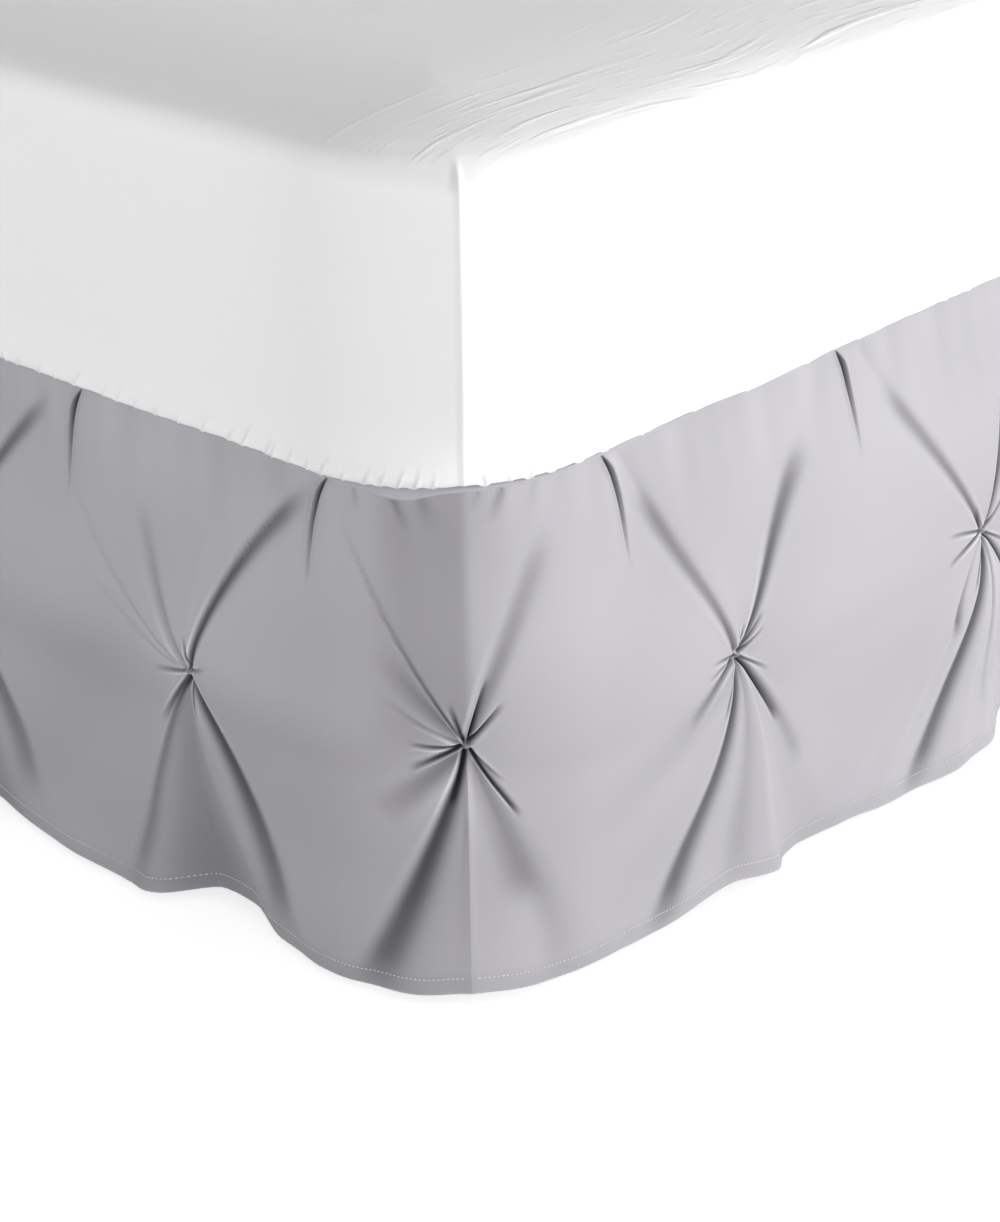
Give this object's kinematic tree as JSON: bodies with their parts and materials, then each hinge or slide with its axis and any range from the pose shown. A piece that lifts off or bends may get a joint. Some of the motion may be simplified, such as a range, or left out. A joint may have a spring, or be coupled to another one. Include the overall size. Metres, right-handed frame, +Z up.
{
  "type": "pinch-pleated bed skirt on a bed with box spring and mattress",
  "caption": "Grey pinch-pleated bed skirt hanging to the floor round three sides of a queen-size box spring on a steel frame, under a mattress in a white fitted sheet.",
  "frame": {"origin": "bottom centre of the whole, on the floor", "axes": "+Z up, +Y from the foot of the bed to its open head end, +X to the right as seen from the foot"},
  "size_m": [1.6043, 2.0678, 0.6103],
  "materials": {
    "skirt_cloth": "brushed microfibre with a faint sheen",
    "sheet_cloth": "plain woven cotton",
    "base_cloth": "woven ticking",
    "frame_steel": "black powder coat",
    "glide_plastic": "moulded"
  },
  "bodies": {
    "root": {"deck": "skirt_cloth", "drop_foot": "skirt_cloth", "drop_left": "skirt_cloth", "drop_right": "skirt_cloth", "mattress": "sheet_cloth", "box_spring": "base_cloth", "rail_left": "frame_steel", "rail_right": "frame_steel", "rail_foot": "frame_steel", "rail_head": "frame_steel", "cross_rail_1": "frame_steel", "cross_rail_2": "frame_steel", "leg_foot_left": "frame_steel", "leg_foot_right": "frame_steel", "leg_middle_left": "frame_steel", "leg_middle_right": "frame_steel", "leg_head_left": "frame_steel", "leg_head_right": "frame_steel", "glide_foot_left": "glide_plastic", "glide_foot_right": "glide_plastic", "glide_middle_left": "glide_plastic", "glide_middle_right": "glide_plastic", "glide_head_left": "glide_plastic", "glide_head_right": "glide_plastic"}
  },
  "joints": []
}
